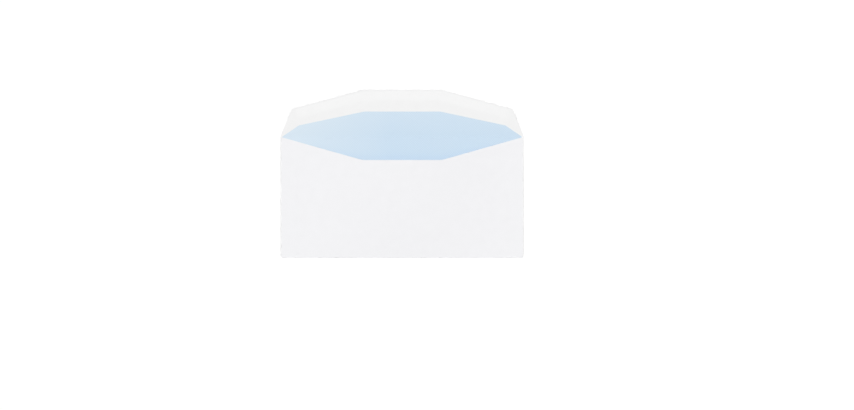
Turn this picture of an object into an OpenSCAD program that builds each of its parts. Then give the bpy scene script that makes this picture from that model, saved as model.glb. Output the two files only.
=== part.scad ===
// Window envelope for machine filling, lying on its front with the seal flap open.
// The sheet's front panel is on the table, the back panel is folded up over it and the
// flap points along +Y. The origin is under the middle of the open envelope.

/* [Envelope] */
// Width of the envelope, from side fold to side fold
env_w = 229; // [180:1:330]
// Height of the closed envelope, from bottom fold to flap crease
env_h = 114; // [95:1:180]
// Thickness of the paper
paper_t = 0.1; // [0.08:0.01:0.2]

/* [Seal flap] */
// Reach of the flap beyond its crease
flap_reach = 44; // [36:1:60]
// Width of the straight edge at the tip of the flap
flap_tip_w = 74; // [40:1:120]
// How far each shoulder of the flap stands in from the side fold
shoulder_inset = 10.5; // [5:0.5:20]
// Reach of the shoulders beyond the crease
shoulder_reach = 26; // [15:1:34]
// Rounding of the shoulders and of the corners at the tip
flap_corner_r = 2; // [1:0.5:10]
// Slope of the flap where it leaves the crease, in degrees
crease_angle = 5; // [0:0.5:12]
// Height that the tip of the flap has above the table
tip_lift = 2.2; // [0:0.1:8]

/* [Back panel] */
// Depth of the throat below the crease
throat_depth = 22; // [10:0.5:35]
// Width of the straight edge at the bottom of the throat
throat_flat_w = 75; // [40:1:120]
// Drop of the throat's edge below the crease, at the sides of the back panel
throat_end_drop = 0.5; // [0.5:0.1:5]
// Softness of the throat's two corners
throat_blend = 1.5; // [0.2:0.1:4]
// How far the back panel stands in from each side fold
back_inset = 1; // [0.5:0.1:3]
// Rise of the back panel at the middle of the throat, where the pocket stands open
bow_rise = 6.5; // [0:0.1:10]
// Strip of the back panel next to the bottom fold that is pressed flat
bow_start = 1; // [1:0.5:10]
// Strip beside each side flap's edge that stays flat and unprinted
seam_margin = 0.5; // [0.3:0.1:3]

/* [Side flaps] */
// Width of the side flaps that the back panel is glued on
side_flap_w = 17; // [10:1:19]
// Distance of the side flaps' roots from the bottom fold and from the crease
root_clear = 2.5; // [1.5:0.5:6]
// Taper of the side flaps at their lower ends
side_flap_taper = 8; // [2:1:20]
// Cover of the back panel beyond the side flaps' upper ends
throat_cover = 4; // [2:0.5:12]
// Air between the front panel and the side flaps
fold_gap = 0.15; // [0.1:0.01:0.6]
// Depth that the side flaps are pressed into the back panel by the glued seam
seam_bite = 0.01; // [0.005:0.005:0.05]

/* [Window] */
// Width of the window
window_w = 100; // [40:1:110]
// Height of the window
window_h = 45; // [20:1:50]
// Radius of the window's corners
window_r = 3; // [1:0.5:8]
// Distance of the window from the side fold
window_side = 20; // [19.5:0.5:60]
// Distance of the window from the bottom fold
window_foot = 20; // [12:0.5:40]
// Cover of the film beyond the window, on every side
film_margin = 9; // [4:0.5:11]
// Thickness of the film
film_t = 0.04; // [0.02:0.01:0.06]

/* [Inside print] */
// Thickness of the layer of ink, drawn thicker than it is
tint_t = 0.02; // [0.01:0.01:0.03]
// Reach of the tint beyond the crease
tint_reach = 23.5; // [14:0.5:30]
// Width of the straight edge at the tip of the tint
tint_tip_w = 71.5; // [40:0.5:110]
// How far the knees of the tint stand in from the tint's side
tint_knee_inset = 15.5; // [8:0.5:30]
// Reach of the knees of the tint beyond the crease
tint_knee_reach = 10.5; // [6:0.5:13]
// Bare edge between the tint and the side folds
tint_edge = 2; // [0.5:0.1:4]

/* [Hidden] */

paper_white = "#F3F3F5";
film_clear = "#E4EEF5";
tint_blue = "#D0E2F1";

$fn = 32;
profile_steps = 12;
bow_columns = 36;
bow_rows = 14;

// Straight stretch of a fold beyond its turn, which lies in the panels that it joins
fold_lap = 0.5;

half_w = env_w / 2;
back_half = half_w - back_inset;
seam_x = half_w - side_flap_w;
bow_half = seam_x - seam_margin;
whole_reach = env_h + flap_reach;

// Heights of the layers' lower faces, from the table up
side_flap_z = paper_t + fold_gap;
back_z = side_flap_z + paper_t;
side_fold_r = (side_flap_z + paper_t) / 2;
bottom_fold_r = (back_z + paper_t) / 2;
panel_foot = bottom_fold_r + fold_lap / 2;

// The lesser of two values, blended where they differ by less than soft
function soft_min(a, b, soft) =
    min(a, b) - pow(max(soft - abs(a - b), 0), 2) / (4 * soft);

// Upper edge of the back panel at x: a flat, and a slope up to each side
function throat_y(x) =
    let (slope = (throat_depth - throat_end_drop) / (back_half - throat_flat_w / 2))
    env_h - soft_min(throat_depth, throat_end_drop + slope * (back_half - abs(x)), throat_blend);

// Height of the opened sheet's lower face at y: flat up to the crease, then the flap,
// which leaves the crease at its angle and sags to the height of its tip
function sheet_z(y) =
    let (d = max(y - env_h, 0), rise = tan(crease_angle))
    d * rise - pow(d / flap_reach, 2) * (flap_reach * rise - tip_lift);

// Bow of the back panel: none at the seams and next to the bottom fold, full at the throat
function bow_z(x, y) =
    let (
        u = min(abs(x) / bow_half, 1),
        v = min(max(y - bow_start, 0) / (env_h - throat_depth - bow_start), 1)
    )
    bow_rise * pow(1 - u * u, 1.5) * v * (2 - v);

// Stations along the opened sheet, from the bottom fold over the crease to the flap's tip
sheet_stations = [0, for (i = [0:profile_steps]) env_h + flap_reach * i / profile_steps];

// Stations across the bowed middle of the back panel, where its inside is printed
bow_stations = [for (j = [0:bow_columns]) bow_half * (2 * j / bow_columns - 1)];

// Stations across the whole back panel: the middle, and a flat strip over each side flap
back_stations = concat([-back_half], bow_stations, [back_half]);

// Points of the back panel's lower face, from the bottom fold up to the throat. The first
// row lies on the fold's lap, and the others are spread evenly over the bow.
function back_grid(stations) =
    [for (i = [-1:bow_rows])
        [for (x = stations)
            let (y = i < 0 ? panel_foot : bow_start + (throat_y(x) - bow_start) * i / bow_rows)
            [x, y, back_z + bow_z(x, y)]]];

// Thin solid over a grid of points, between two heights above them
module draped(grid, under, over) {
    rows = len(grid);
    cols = len(grid[0]);
    layer = rows * cols;
    rim = [
        for (j = [0:cols - 2]) j,
        for (i = [0:rows - 2]) i * cols + cols - 1,
        for (j = [cols - 1:-1:1]) (rows - 1) * cols + j,
        for (i = [rows - 1:-1:1]) i * cols
    ];
    upper = [
        for (i = [0:rows - 2], j = [0:cols - 2])
            let (a = i * cols + j, b = a + cols)
            each [[a, b, b + 1], [a, b + 1, a + 1]]
    ];
    polyhedron(
        points = [
            for (rise = [under, over], row = grid, p = row) p + [0, 0, rise]
        ],
        faces = concat(
            [for (f = upper) [f[2], f[1], f[0]]],
            [for (f = upper) [for (k = f) k + layer]],
            [
                for (k = [0:len(rim) - 1])
                    let (a = rim[k], b = rim[(k + 1) % len(rim)])
                    each [[a, a + layer, b + layer], [a, b + layer, b]]
            ]
        )
    );
}

// Wide strip that follows the opened sheet's profile, between two heights above it
module sheet_strip(under, over) {
    last = len(sheet_stations) - 1;
    rotate([90, 0, 90])
        linear_extrude(env_w, center = true)
            polygon(concat(
                [for (y = sheet_stations) [y, sheet_z(y) + under]],
                [for (k = [last:-1:0]) [sheet_stations[k], sheet_z(sheet_stations[k]) + over]]
            ));
}

// Half turn of the sheet round a fold, with its outer face on the Y axis
module fold(length, outer_r) {
    linear_extrude(length)
        union() {
            intersection() {
                translate([outer_r, outer_r])
                    difference() {
                        circle(outer_r);
                        circle(outer_r - paper_t);
                    }
                square([outer_r, 2 * outer_r]);
            }
            for (y = [0, 2 * outer_r - paper_t])
                translate([outer_r, y])
                    square([fold_lap, paper_t]);
        }
}

// Outline with two slopes a side: base corners, knees and a straight tip
module peaked_outline(base_half, knee_inset, knee_y, tip_half, tip_y) {
    polygon([
        [-base_half, 0],
        [base_half, 0],
        [base_half, env_h],
        [base_half - knee_inset, knee_y],
        [tip_half, tip_y],
        [-tip_half, tip_y],
        [-base_half + knee_inset, knee_y],
        [-base_half, env_h]
    ]);
}

module rounded_rect(size, r) {
    translate([r, 0])
        square([size.x - 2 * r, size.y]);
    translate([0, r])
        square([size.x, size.y - 2 * r]);
    for (x = [r, size.x - r], y = [r, size.y - r])
        translate([x, y])
            circle(r);
}

module window_outline(margin) {
    translate([-half_w + window_side - margin, window_foot - margin])
        rounded_rect([window_w + 2 * margin, window_h + 2 * margin], window_r);
}

// The opened flap and the strip at the crease keep the sheet's full width
module flap_outline() {
    intersection() {
        offset(flap_corner_r)
            offset(delta = -flap_corner_r)
                peaked_outline(half_w, shoulder_inset, env_h + shoulder_reach, flap_tip_w / 2, whole_reach);
        translate([-half_w, env_h - root_clear / 2])
            square([env_w, flap_reach + root_clear]);
    }
}

module front_and_flap() {
    intersection() {
        sheet_strip(0, paper_t);
        linear_extrude(tip_lift + 2 * paper_t + flap_reach)
            difference() {
                union() {
                    translate([-half_w + side_fold_r, bottom_fold_r])
                        square([env_w - 2 * side_fold_r, env_h - bottom_fold_r]);
                    flap_outline();
                }
                window_outline(0);
            }
    }
}

// Folded in from the side of the front panel; the back panel is glued on it
module side_flap() {
    root_x = half_w - side_fold_r;
    translate([half_w, env_h - root_clear, 0])
        rotate([90, 0, 0])
            mirror([1, 0, 0])
                fold(env_h - 2 * root_clear, side_fold_r);
    translate([0, 0, side_flap_z])
        linear_extrude(paper_t + seam_bite)
            polygon([
                [root_x, root_clear],
                [root_x, env_h - root_clear],
                [seam_x, throat_y(seam_x) - throat_cover],
                [seam_x, root_clear + side_flap_taper]
            ]);
}

module back_panel() {
    rotate([90, 0, 90])
        translate([0, 0, -back_half])
            fold(2 * back_half, bottom_fold_r);
    draped(back_grid(back_stations), 0, paper_t);
}

// One sheet: front panel, seal flap, side flaps and back panel
module paper_blank() {
    color(paper_white)
        translate([0, -whole_reach / 2, 0])
            union() {
                front_and_flap();
                side_flap();
                mirror([1, 0, 0])
                    side_flap();
                back_panel();
            }
}

// Film glued inside the front panel, over the window
module window_film() {
    color(film_clear)
        translate([0, -whole_reach / 2, paper_t + tint_t])
            linear_extrude(film_t)
                window_outline(film_margin);
}

// Blue ink on the inside of the sheet: one field on the front panel and the flap, one on
// the underside of the back panel
module inside_tint() {
    color(tint_blue)
        translate([0, -whole_reach / 2, 0]) {
            intersection() {
                sheet_strip(paper_t, paper_t + tint_t);
                linear_extrude(tip_lift + 2 * paper_t + flap_reach)
                    difference() {
                        intersection() {
                            peaked_outline(
                                half_w - tint_edge, tint_knee_inset, env_h + tint_knee_reach,
                                tint_tip_w / 2, env_h + tint_reach
                            );
                            translate([-half_w, bottom_fold_r])
                                square([env_w, whole_reach]);
                        }
                        window_outline(0);
                    }
            }
            draped(back_grid(bow_stations), -tint_t, 0);
        }
}

paper_blank();
window_film();
inside_tint();
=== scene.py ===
import bmesh, bpy, math
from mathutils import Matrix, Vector, noise


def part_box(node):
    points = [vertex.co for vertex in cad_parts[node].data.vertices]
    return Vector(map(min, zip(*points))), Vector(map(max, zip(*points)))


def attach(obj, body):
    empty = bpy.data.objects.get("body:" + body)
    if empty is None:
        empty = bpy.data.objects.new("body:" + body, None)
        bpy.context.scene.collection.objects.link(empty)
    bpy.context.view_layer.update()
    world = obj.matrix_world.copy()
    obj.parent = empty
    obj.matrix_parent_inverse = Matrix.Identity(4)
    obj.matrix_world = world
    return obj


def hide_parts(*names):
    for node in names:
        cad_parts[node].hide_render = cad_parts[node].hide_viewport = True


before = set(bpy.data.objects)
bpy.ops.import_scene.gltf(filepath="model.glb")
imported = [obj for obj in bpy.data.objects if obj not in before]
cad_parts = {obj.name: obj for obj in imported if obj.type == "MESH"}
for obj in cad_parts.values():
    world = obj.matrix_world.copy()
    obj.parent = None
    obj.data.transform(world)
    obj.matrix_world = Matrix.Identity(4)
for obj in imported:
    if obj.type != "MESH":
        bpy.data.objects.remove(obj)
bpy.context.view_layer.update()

# THE BLANK, CUT FLAT
# One sheet of white wove paper, 80 g/m2, die-cut in one stroke: front panel, seal flap above
# it, back panel below it and a side flap at each end. It lies with its inside up.

MM = 0.001
blank_low, blank_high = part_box("paper_blank")
half_w = blank_high[0] / MM
foot_y = blank_low[1] / MM
crease_y = 114.0
flap_reach = blank_high[1] / MM - foot_y - crease_y

# The bends at the sides and at the bottom take up a strip of the flat sheet each. A height in
# millimetres is measured from the bottom fold, and the back panel lies below it.
paper_t = 0.1
paper_mid = paper_t / 2
side_r, bottom_r = 0.125, 0.175
side_bend, bottom_bend = math.pi * side_r, math.pi * bottom_r
side_root_x = half_w - side_r - paper_mid
bottom_line = bottom_r + paper_mid
panel_line = bottom_line - bottom_bend

# The side flaps' roots stop short of the bottom fold and of the crease. Their glued edges are
# shorter than their roots, scaled about a height a little above their middle.
root_clear = 2.5
root_low, root_high = root_clear, crease_y - root_clear
root_middle = (root_low + root_high) / 2
full_width_y = crease_y - root_clear / 2
seam_x = half_w - 17.0
seam_share, seam_centre = 0.864, 61.3

back_half = half_w - 1.0
throat_depth, throat_flat, throat_drop = 22.0, 37.5, 0.5
shoulder_x, shoulder_reach, tip_x = half_w - 10.5, 26.0, 37.0
shoulder_round, tip_round, throat_round = 1.0, 1.5, 3.0


def at(x, y, z=paper_mid):
    """A place in metres, from millimetres off the middle, the bottom fold and the table."""
    return Vector((x, y + foot_y, z)) * MM


def place(point):
    """The same place in millimetres."""
    return point.x / MM, point.y / MM - foot_y


def near(a, b):
    return abs(a - b) < 0.01


def pick(test, kind="verts"):
    """Select only the corners, edges or faces of the sheet whose place passes the test."""
    bpy.ops.mesh.select_all(action="DESELECT")
    mesh = bmesh.from_edit_mesh(bpy.context.object.data)
    for part in getattr(mesh, kind):
        if kind == "verts":
            middle = part.co
        elif kind == "edges":
            middle = (part.verts[0].co + part.verts[1].co) / 2
        else:
            middle = part.calc_center_median()
        if test(*place(middle)):
            part.select_set(True)
    bmesh.update_edit_mesh(bpy.context.object.data)


def draw_out(edge, step, share=1.0, centre=0.0):
    """Extrude the picked edge by a step, and scale its far side about the middle or a height."""
    pick(edge, "edges")
    bpy.ops.mesh.extrude_edges_move(TRANSFORM_OT_translate={"value": (step[0] * MM, step[1] * MM, 0)})
    scale = (share, 1, 1) if step[1] else (1, share, 1)
    bpy.ops.transform.resize(value=scale, center_override=at(0, centre))


def score(point, across, where=None):
    """Cut a line through a point, square to the direction given, into all faces or picked ones."""
    if where:
        pick(where, "faces")
    else:
        bpy.ops.mesh.select_all(action="SELECT")
    square = Vector((*across, 0)).normalized()
    bpy.ops.mesh.bisect(plane_co=at(*point), plane_no=square, threshold=0.001 * MM)


def round_off(corner_x, corner_y, offset, segments):
    """Round the two mirrored corners at a place."""
    pick(lambda x, y: near(abs(x), corner_x) and near(y, corner_y))
    bpy.ops.mesh.bevel(offset=offset * MM, segments=segments, affect="VERTICES")


bpy.ops.object.select_all(action="DESELECT")
bpy.ops.mesh.primitive_plane_add(size=1, location=at(0, root_middle))
sheet = bpy.context.object
sheet.name = "paper"
sheet.scale = (2 * side_root_x * MM, (root_high - root_low) * MM, 1)
bpy.ops.object.transform_apply(location=True, rotation=True, scale=True)
bpy.ops.object.mode_set(mode="EDIT")

# Upwards to the crease, the shoulders and the tip of the flap, and downwards over the bottom
# bend to the back panel. Each row gives the next height, and half the width there and before.
top = root_high
for y_next, half, half_before in [
    (full_width_y, half_w, side_root_x),
    (crease_y, half_w, half_w),
    (crease_y + shoulder_reach, shoulder_x, half_w),
    (crease_y + flap_reach, tip_x, shoulder_x),
]:
    draw_out(lambda x, y: near(x, 0) and near(y, top), (0, y_next - top), half / half_before)
    top = y_next

throat_foot = panel_line - (crease_y - throat_depth - bottom_line)
foot = root_low
for y_next, half, half_before in [
    (bottom_line, back_half, side_root_x),
    (panel_line, back_half, back_half),
    (throat_foot, back_half, back_half),
]:
    draw_out(lambda x, y: near(x, 0) and near(y, foot), (0, y_next - foot), half / half_before)
    foot = y_next

for side in (-1, 1):
    draw_out(lambda x, y: near(x, side * side_root_x) and near(y, root_middle), (side * side_bend, 0))
    draw_out(lambda x, y: near(x, side * (side_root_x + side_bend)) and near(y, root_middle),
             (side * (side_root_x - seam_x), 0), seam_share, seam_centre)

# The throat: a flat in the middle, and the corners beside it drawn out to the crease.
for side in (-1, 1):
    score((side * throat_flat, 0), (1, 0), lambda x, y: y < panel_line)
pick(lambda x, y: near(abs(x), back_half) and near(y, throat_foot))
bpy.ops.transform.translate(value=(0, -(throat_depth - throat_drop) * MM, 0))
pick(lambda x, y: near(abs(x), throat_flat) or near(y, crease_y + shoulder_reach) and near(x, 0), "edges")
bpy.ops.mesh.dissolve_edges(use_verts=False)

round_off(shoulder_x, crease_y + shoulder_reach, shoulder_round, 6)
round_off(tip_x, crease_y + flap_reach, tip_round, 6)
round_off(throat_flat, throat_foot, throat_round, 8)

# The bends that the folding machine makes are divided into eight strips each.
bend_steps = 8
bottom_lines = [bottom_line - bottom_bend * k / bend_steps for k in range(bend_steps + 1)]
side_lines = [side_root_x + side_bend * k / bend_steps for k in range(bend_steps + 1)]
for y in bottom_lines[1:-1]:
    score((0, y), (0, 1), lambda x, y: panel_line < y < bottom_line)
for x in side_lines[1:-1]:
    for side in (-1, 1):
        score((side * x, 0), (1, 0), lambda x, y: side_root_x < abs(x) < side_root_x + side_bend)

# Outlines on the flap, as corners (across, above the crease): the edge of the print, and the
# two edges of the gum that is rolled on along the flap's rim.
peak_x, knee_x, gum_x, print_half = 35.75, 97.0, 100.0, half_w - 2.0
print_reach = 23.5
print_edge = [(0, print_reach), (peak_x, print_reach), (knee_x, 10.5), (print_half, 0)]
gum_low = [(0, 34), (peak_x, 34), (gum_x, 16.7)]
gum_high = [(0, 42.5), (peak_x, 42.5), (gum_x, 25.4)]
for x in (peak_x, knee_x, gum_x, -peak_x, -knee_x, -gum_x):
    score((x, 0), (1, 0), lambda x, y: y > crease_y)
for outline in (print_edge, gum_low, gum_high):
    for (x0, y0), (x1, y1) in zip(outline, outline[1:]):
        for side in (-1, 1):
            score((side * x0, crease_y + y0), (side * (y0 - y1), x1 - x0),
                  lambda x, y: y > crease_y and x0 <= side * x < x1)

# The print stops at the sides too, and on the back panel half a millimetre before the seams.
for x in (-print_half, print_half):
    score((x, 0), (1, 0), lambda x, y: bottom_line < y < crease_y)
print_seam = seam_x - 0.5
for x in (-print_seam, print_seam):
    score((x, 0), (1, 0), lambda x, y: y < bottom_line)

# An even net over the whole sheet, so that it can curve. The back panel's begins above a strip
# of 1 mm that stays flat, and the flap's is finer. Then come the two edges of the crease.
net, flap_net, flat_strip = 3.0, 2.25, 1.0
net_columns, net_rows, flap_rows = 37, 36, 19
for i in range(-net_columns, net_columns + 1):
    score((net * i, 0), (1, 0))
for i in range(1, net_rows + 1):
    score((0, net * i + 0.5), (0, 1))
    score((0, panel_line - flat_strip - net * i), (0, 1))
for i in range(1, flap_rows + 1):
    score((0, crease_y + flap_net * i), (0, 1))
score((0, panel_line - flat_strip), (0, 1))
crease_half = 0.4
for y in (crease_y - crease_half, crease_y + crease_half):
    score((0, y), (0, 1))
bpy.ops.object.mode_set(mode="OBJECT")


def height(outline, x):
    """Height of a mirrored outline above the crease, at a distance from the middle."""
    for (x0, y0), (x1, y1) in zip(outline, outline[1:]):
        if x0 <= abs(x) <= x1:
            return y0 + (y1 - y0) * (abs(x) - x0) / (x1 - x0)
    return 0


def printed(x, y):
    if y > crease_y:
        return y - crease_y < height(print_edge, x)
    return abs(x) < (print_half if y > bottom_line else print_seam)


def gummed(x, y):
    return height(gum_low, x) < y - crease_y < height(gum_high, x)


def seamed(x, y):
    return y < panel_line and abs(x) > print_seam


def linear(code):
    """The linear colour of an sRGB hex code."""
    channels = [int(code[i:i + 2], 16) / 255 for i in (1, 3, 5)]
    return [c / 12.92 if c < 0.04045 else ((c + 0.055) / 1.055) ** 2.4 for c in channels] + [1]


def socket(sockets, name):
    """The socket of that name which the node's mode uses; a and b are the first and second."""
    if name in ("a", "b"):
        return sockets["ab".index(name)]
    return next(s for s in sockets if s.name == name.replace("_", " ") and s.enabled)


def add(tree, kind, **settings):
    """Add a node. Each setting is a field's value, a socket's value, or a node and its output."""
    node = tree.nodes.new(kind)
    for name, value in settings.items():
        if hasattr(node, name):
            setattr(node, name, value)
        elif isinstance(value, tuple) and isinstance(value[0], bpy.types.Node):
            tree.links.new(socket(value[0].outputs, value[1]), socket(node.inputs, name))
        else:
            socket(node.inputs, name).default_value = value
    return node


def new_finish(name):
    """A material with only its output, and a node that gives the place on the object."""
    finish = bpy.data.materials.new(name)
    finish.use_nodes = True
    finish.node_tree.nodes.clear()
    return finish, finish.node_tree, add(finish.node_tree, "ShaderNodeTexCoord")


# Wove paper, uncoated and calendered: a matt white with a faint cloudiness 8 mm wide, where
# the pulp lies thicker. Its tooth is drawn 0.9 mm wide, coarser than a real sheet's, so that it shows.
def wove(name, thick, thin, **coat):
    finish, tree, spot = new_finish(name)
    clouds = add(tree, "ShaderNodeTexNoise", Vector=(spot, "Object"), Scale=1 / (8 * MM), Detail=2)
    tone = add(tree, "ShaderNodeMix", data_type="RGBA", Factor=(clouds, "Fac"),
               A=linear(thin), B=linear(thick))
    tooth = add(tree, "ShaderNodeTexNoise", Vector=(spot, "Object"), Scale=1 / (0.9 * MM), Detail=3)
    relief = add(tree, "ShaderNodeBump", Height=(tooth, "Fac"), Strength=0.35, Distance=0.04 * MM)
    shader = add(tree, "ShaderNodeBsdfPrincipled", Base_Color=(tone, "Result"), Normal=(relief, "Normal"),
                 Roughness=0.85, IOR=1.45, Specular_IOR_Level=0.25, **coat)
    add(tree, "ShaderNodeOutputMaterial", Surface=(shader, "BSDF"))
    return finish


# The bare paper is a neutral white. Where the inside is printed, a trace of the blue shows
# through to the outside.
white_wove = wove("wove_paper", "#F5F5F5", "#F2F2F2")
tinted_wove = wove("wove_paper_over_print", "#F5F5F7", "#F2F2F4")

# Dextrin gum, rolled on wet over the same paper and dried: a clear skin with a low gloss.
gum = wove("dried_dextrin_gum", "#F5F5F5", "#F2F2F2", Coat_Weight=0.3, Coat_Roughness=0.5, Coat_IOR=1.46)

# Each zone of the sheet has one finish inside and the next one outside.
BARE, PRINTED, GUMMED, SEAM = 0, 2, 4, 6
for inside, outside in [
    (white_wove, white_wove),
    (white_wove, tinted_wove),
    (gum, white_wove),
    (white_wove, tinted_wove),
]:
    sheet.data.materials.append(inside)
    sheet.data.materials.append(outside)
for face in sheet.data.polygons:
    x, y = place(face.center)
    face.material_index = (PRINTED if printed(x, y) else GUMMED if gummed(x, y)
                           else SEAM if seamed(x, y) else BARE)

# FOLDING
# The machine turns the side flaps in first, then the back panel up over them. Each bend is
# rolled strip by strip, and what lies beyond a line turns with it.

flat = [place(corner.co) for corner in sheet.data.vertices]
line_slack = 0.001


def roll(lines, axis, turn, on_line, beyond):
    """Turn all that lies beyond each line in steps that add up to half a turn."""
    for k, line in enumerate(lines):
        bpy.ops.mesh.select_all(action="DESELECT")
        mesh = bmesh.from_edit_mesh(sheet.data)
        hinge = [v.co for v in mesh.verts if on_line(line, *flat[v.index])]
        centre = sum(hinge, Vector()) / len(hinge)
        for v in mesh.verts:
            if beyond(line, *flat[v.index]):
                v.select_set(True)
        bmesh.update_edit_mesh(sheet.data)
        step = math.pi / bend_steps * (0.5 if k in (0, bend_steps) else 1)
        bpy.ops.transform.rotate(value=turn * step, orient_axis=axis, center_override=centre)


def beside(y):
    """True for heights within a side flap's root."""
    return root_low - 0.1 < y < root_high + 0.1


bpy.ops.object.mode_set(mode="EDIT")
for side in (-1, 1):
    roll(side_lines, "Y", side, lambda line, x, y: abs(side * x - line) < line_slack and beside(y),
         lambda line, x, y: side * x > line + line_slack and beside(y))
roll(bottom_lines, "X", 1, lambda line, x, y: abs(y - line) < line_slack,
     lambda line, x, y: y < line - line_slack)
bpy.ops.object.mode_set(mode="OBJECT")

# Paper has a spring of its own: the back panel bows up to the throat, where the pocket stands
# open, and the flap leaves its crease at 5 degrees and sags. Neither is ever quite even. The
# score along the crease stands up inside as a fine bead.
bow_rise, bow_uneven = 6.4, 0.25
crease_slope, tip_lift, flap_uneven = math.tan(math.radians(5)), 2.2, 0.35
wave_w, bead = 70, 0.04


def waver(x, y, seed):
    """A slow unevenness between -1 and 1, from wave to wave as wide as wave_w."""
    return noise.noise(Vector((x / wave_w, y / wave_w, seed)))


def bow(x, y):
    across = 1 - min(abs(x) / print_seam, 1) ** 2
    up = min(max(y - flat_strip, 0) / (crease_y - throat_depth - flat_strip), 1)
    return (bow_rise + bow_uneven * waver(x, y, 3)) * across ** 1.5 * up * (2 - up)


def sag(x, y):
    beyond = max(y - crease_y, 0)
    share = (beyond / flap_reach) ** 2
    return (beyond * crease_slope - share * (flap_reach * crease_slope - tip_lift)
            + flap_uneven * share * (waver(x, y, 8) - 0.4)
            + bead * max(1 - abs(y - crease_y) / crease_half, 0))


for corner, (x, y) in zip(sheet.data.vertices, flat):
    if y < panel_line:
        corner.co.z += bow(*place(corner.co)) * MM
    elif y > crease_y - crease_half:
        corner.co.z += sag(x, y) * MM
skin = sheet.data.copy()

# THICKNESS AND WINDOW
# The sheet is 0.1 mm thick, and the window is punched through the front panel with a steel die
# of 100 by 45 mm, 20 mm from the side and from the foot.


def select_only(piece):
    bpy.ops.object.select_all(action="DESELECT")
    bpy.context.view_layer.objects.active = piece
    piece.select_set(True)


def thicken(piece, thickness, offset, **finishes):
    """Give a skin its thickness. The offset is -1 or 1 for one side and 0 for both."""
    wall = piece.modifiers.new("thickness", "SOLIDIFY")
    wall.thickness, wall.offset = thickness * MM, offset
    for name, value in finishes.items():
        setattr(wall, name, value)
    select_only(piece)
    bpy.ops.object.modifier_apply(modifier=wall.name)


def rounded_plate(name, low, high):
    """A flat plate between two corners in mm, rounded as the window is, open in edit mode."""
    bpy.ops.object.select_all(action="DESELECT")
    bpy.ops.mesh.primitive_plane_add(size=1, location=(at(*low) + at(*high)) / 2)
    plate = bpy.context.object
    plate.name = name
    plate.scale = (*(Vector(high) - Vector(low)) * MM, 1)
    bpy.ops.object.transform_apply(location=True, rotation=True, scale=True)
    bpy.ops.object.mode_set(mode="EDIT")
    bpy.ops.mesh.select_all(action="SELECT")
    bpy.ops.mesh.bevel(offset=window_r * MM, segments=8, affect="VERTICES")
    return plate


window_w, window_h, window_r = 100, 45, 3
window_side, window_foot = 20, 20
window_low = (-half_w + window_side, window_foot)
window_high = (window_low[0] + window_w, window_low[1] + window_h)
die = rounded_plate("die", window_low, window_high)
bpy.ops.object.mode_set(mode="OBJECT")
thicken(die, 2 * paper_t, 0)


def punch(piece):
    cut = piece.modifiers.new("window", "BOOLEAN")
    cut.operation, cut.solver, cut.object = "DIFFERENCE", "EXACT", die
    select_only(piece)
    bpy.ops.object.modifier_apply(modifier=cut.name)
    bpy.ops.object.shade_smooth_by_angle(angle=math.radians(40))


thicken(sheet, paper_t, 0, material_offset=1)
punch(sheet)
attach(sheet, "root")
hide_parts("paper_blank")

# INSIDE PRINT
# A light blue security tint, printed on the inside of the sheet before it is folded, so that
# nobody reads the letter through the paper. It stops short of the gum.

ink_t = 0.02
inked = bpy.data.objects.new("inside_print", skin)
bpy.context.scene.collection.objects.link(inked)
select_only(inked)
bpy.ops.object.mode_set(mode="EDIT")
bpy.ops.mesh.select_all(action="DESELECT")
mesh = bmesh.from_edit_mesh(skin)
for face in mesh.faces:
    face.select_set(face.material_index != PRINTED)
    face.material_index = 0
bmesh.update_edit_mesh(skin)
bpy.ops.mesh.delete(type="FACE")
bpy.ops.mesh.select_all(action="SELECT")
bpy.ops.transform.shrink_fatten(value=paper_mid * MM)
bpy.ops.object.mode_set(mode="OBJECT")
skin.materials.clear()
thicken(inked, ink_t, 1)
punch(inked)
bpy.data.objects.remove(die)

# Offset ink, a thin matt film: faint lines both ways at 45 degrees in a deeper and a paler blue,
# as security tints often have. The pattern is a guess, drawn 1.6 mm apart so that it shows. The
# tint is mixed paler towards the left end of the sheet. On the flap it is also mixed paler towards
# its tip: that is painted light, standing in for the shade that deepens towards the throat.
ink, tree, spot = new_finish("offset_ink")
line_gap = 1.6 * MM
lines = []
for turn in (45, -45):
    turned = add(tree, "ShaderNodeMapping", Vector=(spot, "Object"), Rotation=(0, 0, math.radians(turn)))
    lines.append(add(tree, "ShaderNodeTexWave", Vector=(turned, "Vector"), Scale=math.pi / 10 / line_gap))
both = add(tree, "ShaderNodeMath", operation="MAXIMUM", a=(lines[0], "Fac"), b=(lines[1], "Fac"))
screen = add(tree, "ShaderNodeMapRange", Value=(both, "Value"), From_Min=0.6, From_Max=0.95)
uneven = add(tree, "ShaderNodeTexNoise", Vector=(spot, "Object"), Scale=1 / (40 * MM), Detail=2)
gaps = add(tree, "ShaderNodeMix", data_type="RGBA", Factor=(uneven, "Fac"),
           A=linear("#CEE2F2"), B=linear("#D4E5F3"))
tone = add(tree, "ShaderNodeMix", data_type="RGBA", Factor=(screen, "Result"),
           A=(gaps, "Result"), B=linear("#C8DDF0"))
across = add(tree, "ShaderNodeSeparateXYZ", Vector=(spot, "Object"))
to_left = add(tree, "ShaderNodeMapRange", Value=(across, "X"), To_Max=0.45,
              From_Min=-10 * MM, From_Max=-100 * MM)
# Painted light: on the flap the tint is mixed paler towards its tip, so it reads darker towards the
# throat, where shade falls under the raised back panel.
painted_light_to_tip = add(tree, "ShaderNodeMapRange", Value=(across, "Y"), To_Max=0.19,
             From_Min=at(0, crease_y).y, From_Max=at(0, crease_y + print_reach).y)
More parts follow.
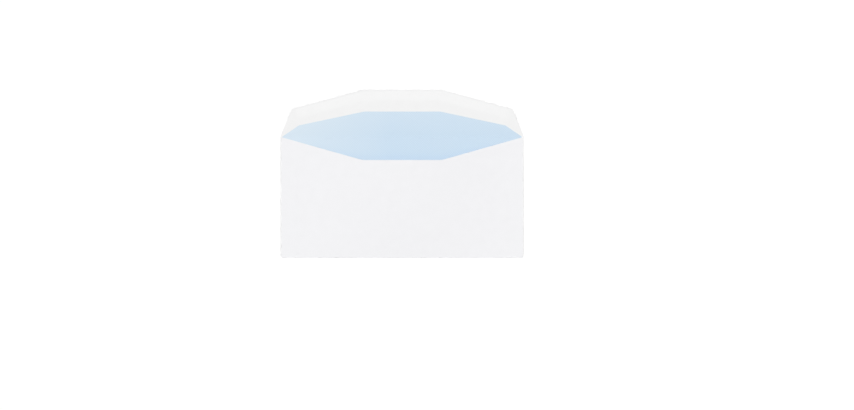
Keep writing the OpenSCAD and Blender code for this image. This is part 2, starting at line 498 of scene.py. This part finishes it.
# Paler towards the left end, plus the painted light towards the flap's tip.
paler_left_and_painted_light = add(tree, "ShaderNodeMath", operation="ADD", a=(to_left, "Result"), b=(painted_light_to_tip, "Result"))
ink_paler_and_painted_light = add(tree, "ShaderNodeMix", data_type="RGBA", Factor=(paler_left_and_painted_light, "Value"),
           A=(tone, "Result"), B=linear("#E4EEF4"))
shader = add(tree, "ShaderNodeBsdfPrincipled", Base_Color=(ink_paler_and_painted_light, "Result"),
             Roughness=0.75, IOR=1.48, Specular_IOR_Level=0.3)
add(tree, "ShaderNodeOutputMaterial", Surface=(shader, "BSDF"))
inked.data.materials.append(ink)
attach(inked, "root")
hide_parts("inside_tint")

# WINDOW FILM
# Clear polystyrene film, 0.04 mm thick, glued inside the front panel round the window. It is
# cut from a roll, so it keeps slow waves where nothing backs it.

film_t, film_margin, film_lift, film_wave = 0.04, 9.0, 0.02, 0.3
film_low = (window_low[0] - film_margin, window_low[1] - film_margin)
film_high = (window_high[0] + film_margin, window_high[1] + film_margin)
film = rounded_plate("window_patch", film_low, film_high)
film_columns, film_rows = 39, 21
for i in range(film_columns):
    score((film_low[0] + net / 2 + net * i, 0), (1, 0))
for i in range(film_rows):
    score((0, film_low[1] + 2 + net * i), (0, 1))
bpy.ops.object.mode_set(mode="OBJECT")

window_middle = (window_low[0] + window_w / 2, window_low[1] + window_h / 2)
for corner in film.data.vertices:
    x, y = place(corner.co)
    in_x = max(0, 1 - (abs(x - window_middle[0]) / (window_w / 2)) ** 4)
    in_y = max(0, 1 - (abs(y - window_middle[1]) / (window_h / 2)) ** 4)
    wave = film_wave * in_x * in_y * (0.45 + waver(x * 2, y * 2, 5))
    corner.co.z = (paper_t + ink_t + film_t / 2 + film_lift + wave) * MM
thicken(film, film_t, 0)
bpy.ops.object.shade_smooth()

# Polystyrene, cast and drawn: clear, with a mirror gloss that shallow waves 18 mm wide break up.
clear_film, tree, spot = new_finish("polystyrene_film")
waves = add(tree, "ShaderNodeTexNoise", Vector=(spot, "Object"), Scale=1 / (18 * MM), Detail=1)
relief = add(tree, "ShaderNodeBump", Height=(waves, "Fac"), Strength=0.5, Distance=0.4 * MM)
shader = add(tree, "ShaderNodeBsdfPrincipled", Normal=(relief, "Normal"),
             Base_Color=linear("#F4F8FB"), Roughness=0.06, IOR=1.59, Transmission_Weight=1)
add(tree, "ShaderNodeOutputMaterial", Surface=(shader, "BSDF"))
film.data.materials.append(clear_film)
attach(film, "root")
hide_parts("window_film")

# TABLE, LIGHT AND CAMERA
# The envelope lies on a white table top in a white room, under one soft light from above and a
# weaker one from the upper left. The camera looks straight down on it.

table_w, table_gap = 6, 0.02 * MM
bpy.ops.object.select_all(action="DESELECT")
bpy.ops.mesh.primitive_plane_add(size=table_w, location=(0, 0, -table_gap))
table = bpy.context.object
table.name = "table"


def looked_at(tree):
    """1 for what the camera sees, directly, mirrored or through film, and 0 for light on things."""
    path = add(tree, "ShaderNodeLightPath")
    mirrored = add(tree, "ShaderNodeMath", operation="MAXIMUM",
                   a=(path, "Is Camera Ray"), b=(path, "Is Glossy Ray"))
    return add(tree, "ShaderNodeMath", operation="MAXIMUM",
               a=(mirrored, "Value"), b=(path, "Is Transmission Ray"))


# A matt laminate. It glows a little where it is looked at, so that it shows as a plain white.
laminate, tree, spot = new_finish("matt_white_laminate")
glow = add(tree, "ShaderNodeMath", operation="MULTIPLY", a=(looked_at(tree), "Value"), b=0.22)
shader = add(tree, "ShaderNodeBsdfPrincipled", Base_Color=linear("#E9E9E9"), Roughness=0.9,
             Specular_IOR_Level=0, Emission_Strength=(glow, "Value"), Emission_Color=(1, 1, 1, 1))
add(tree, "ShaderNodeOutputMaterial", Surface=(shader, "BSDF"))
table.data.materials.append(laminate)

room = bpy.data.worlds.new("white_room")
bpy.context.scene.world = room
room.use_nodes = True
tree = room.node_tree
tree.nodes.clear()
level = add(tree, "ShaderNodeMapRange", Value=(looked_at(tree), "Value"), To_Min=0.32, To_Max=1)
walls = add(tree, "ShaderNodeBackground", Strength=(level, "Result"), Color=(1, 1, 1, 1))
add(tree, "ShaderNodeOutputWorld", Surface=(walls, "Background"))

# Where each light comes from, how wide it looks in degrees, and its share of a full white.
for source, width, share in [((-0.05, 0.06, 1.0), 12, 0.595), ((-0.7, 0.7, 1.4), 15, 0.08)]:
    bpy.ops.object.light_add(type="SUN", location=source)
    lamp = bpy.context.object
    lamp.rotation_euler = Vector(source).to_track_quat("Z", "Y").to_euler()
    lamp.data.angle = math.radians(width)
    lamp.data.energy = share * math.pi / Vector(source).normalized().z

# A long lens high up, which stands a little to the right of the envelope and below its middle,
# so that the envelope comes left of the picture's middle and above it.
bpy.ops.object.camera_add(location=(0.0234, -0.0293, 4.46), rotation=(0, 0, 0))
camera = bpy.context.object
camera.data.lens, camera.data.sensor_width = 200, 36
bpy.context.scene.camera = camera
bpy.context.scene.view_settings.view_transform = "Standard"
